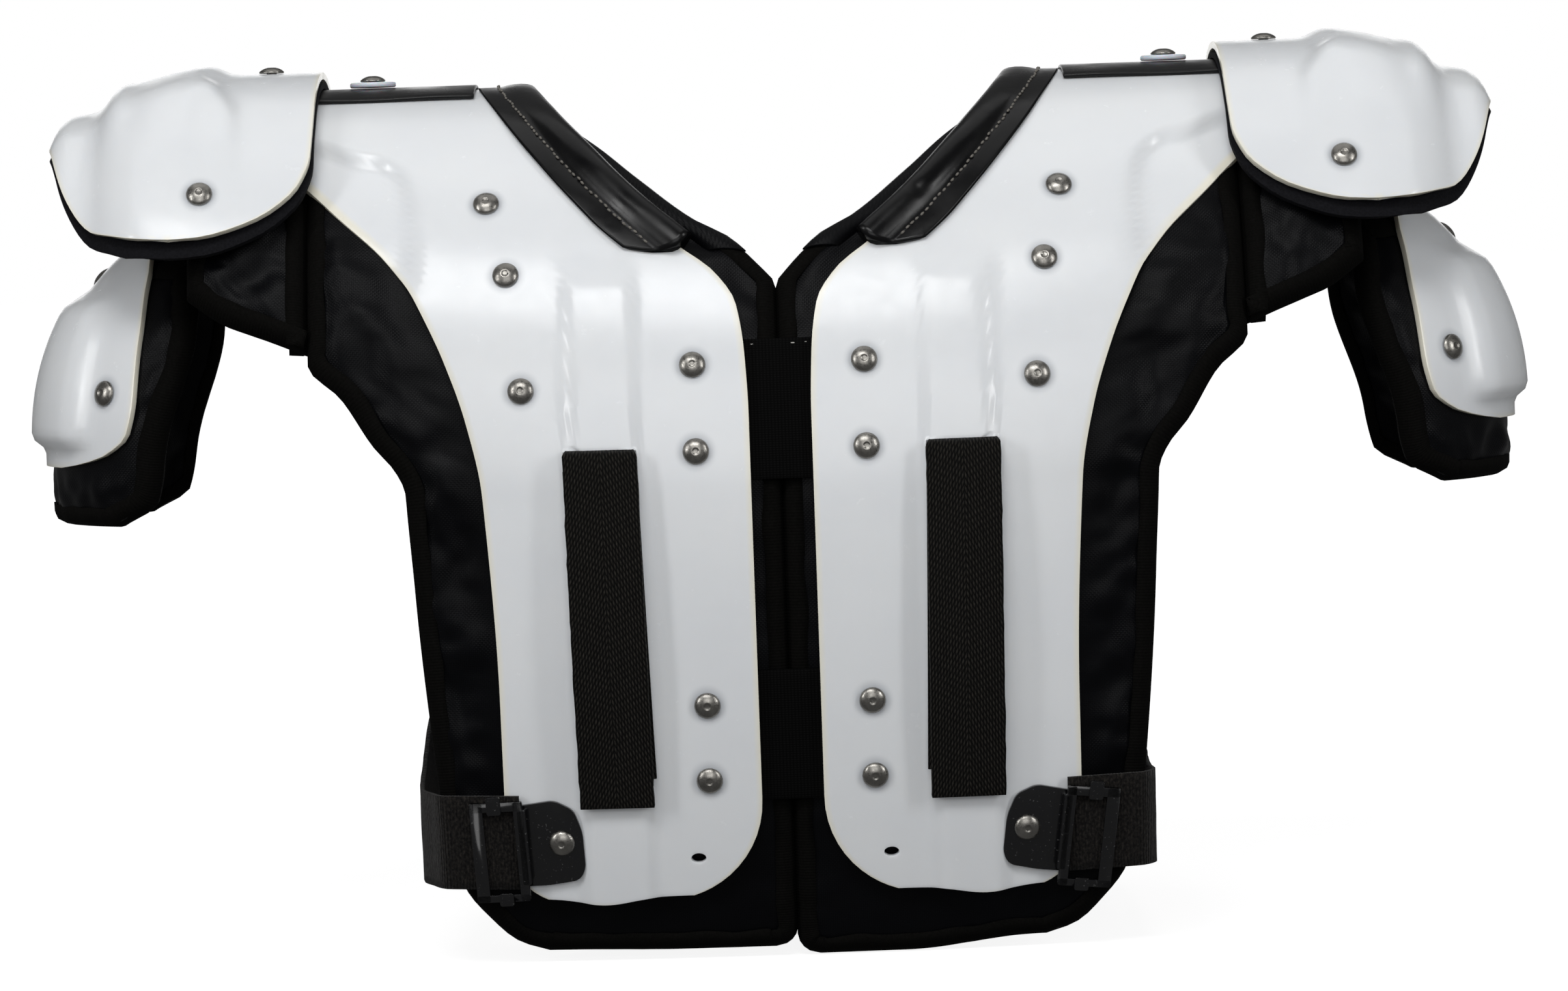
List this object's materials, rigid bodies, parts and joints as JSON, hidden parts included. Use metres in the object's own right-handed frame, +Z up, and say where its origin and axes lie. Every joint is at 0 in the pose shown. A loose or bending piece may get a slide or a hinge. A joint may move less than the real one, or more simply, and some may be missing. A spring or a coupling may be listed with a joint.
{
  "type": "football shoulder pad",
  "caption": "Moulded plastic shoulder arches with epaulets, upper arm cups, nylon covered foam pads and buckled side straps, worn over the chest and shoulders.",
  "frame": {"origin": "centre of the bottom of the whole, on the floor that the pads stand on", "axes": "+X towards the wearer's left arm, -Y out of the chest, +Z up"},
  "size_m": [0.648, 0.275, 0.3858],
  "materials": {
    "white_plastic": "satin",
    "nylon": "woven nylon",
    "vinyl": "satin",
    "webbing": "herringbone weave",
    "elastic": "ribbed weave",
    "black_steel": "satin black paint",
    "bright_steel": "brushed",
    "milky_nylon": "milky"
  },
  "bodies": {
    "root": {"plate_left": "white_plastic", "chest_pad_left": "nylon", "back_pad_left": "nylon", "shoulder_pad_left": "nylon", "neck_band_left": "nylon", "collar_left": "vinyl", "hinge_strap_left": "vinyl", "washer_left": "milky_nylon", "epaulet_left": "white_plastic", "epaulet_lining_left": "nylon", "cup_left": "white_plastic", "cup_pad_left": "nylon", "belt_webbing_left": "webbing", "buckle_left": "black_steel", "side_strap_left": "elastic", "rivet_shoulder_left": "bright_steel", "rivet_upper_chest_left": "bright_steel", "rivet_chest_left": "bright_steel", "rivet_strap_1_left": "bright_steel", "rivet_strap_2_left": "bright_steel", "rivet_strap_3_left": "bright_steel", "rivet_strap_4_left": "bright_steel", "rivet_buckle_left": "bright_steel", "rivet_ridge_left": "bright_steel", "rivet_epaulet_left": "bright_steel", "rivet_epaulet_top_left": "bright_steel", "rivet_cup_left": "bright_steel", "rivet_cup_top_left": "bright_steel", "plate_right": "white_plastic", "chest_pad_right": "nylon", "back_pad_right": "nylon", "shoulder_pad_right": "nylon", "neck_band_right": "nylon", "collar_right": "vinyl", "hinge_strap_right": "vinyl", "washer_right": "milky_nylon", "epaulet_right": "white_plastic", "epaulet_lining_right": "nylon", "cup_right": "white_plastic", "cup_pad_right": "nylon", "belt_webbing_right": "webbing", "buckle_right": "black_steel", "side_strap_right": "elastic", "rivet_shoulder_right": "bright_steel", "rivet_upper_chest_right": "bright_steel", "rivet_chest_right": "bright_steel", "rivet_strap_1_right": "bright_steel", "rivet_strap_2_right": "bright_steel", "rivet_strap_3_right": "bright_steel", "rivet_strap_4_right": "bright_steel", "rivet_buckle_right": "bright_steel", "rivet_ridge_right": "bright_steel", "rivet_epaulet_right": "bright_steel", "rivet_epaulet_top_right": "bright_steel", "rivet_cup_right": "bright_steel", "rivet_cup_top_right": "bright_steel", "centre_strap_upper_front": "webbing", "centre_strap_upper_back": "webbing", "centre_strap_lower_front": "webbing", "centre_strap_lower_back": "webbing"}
  },
  "joints": []
}
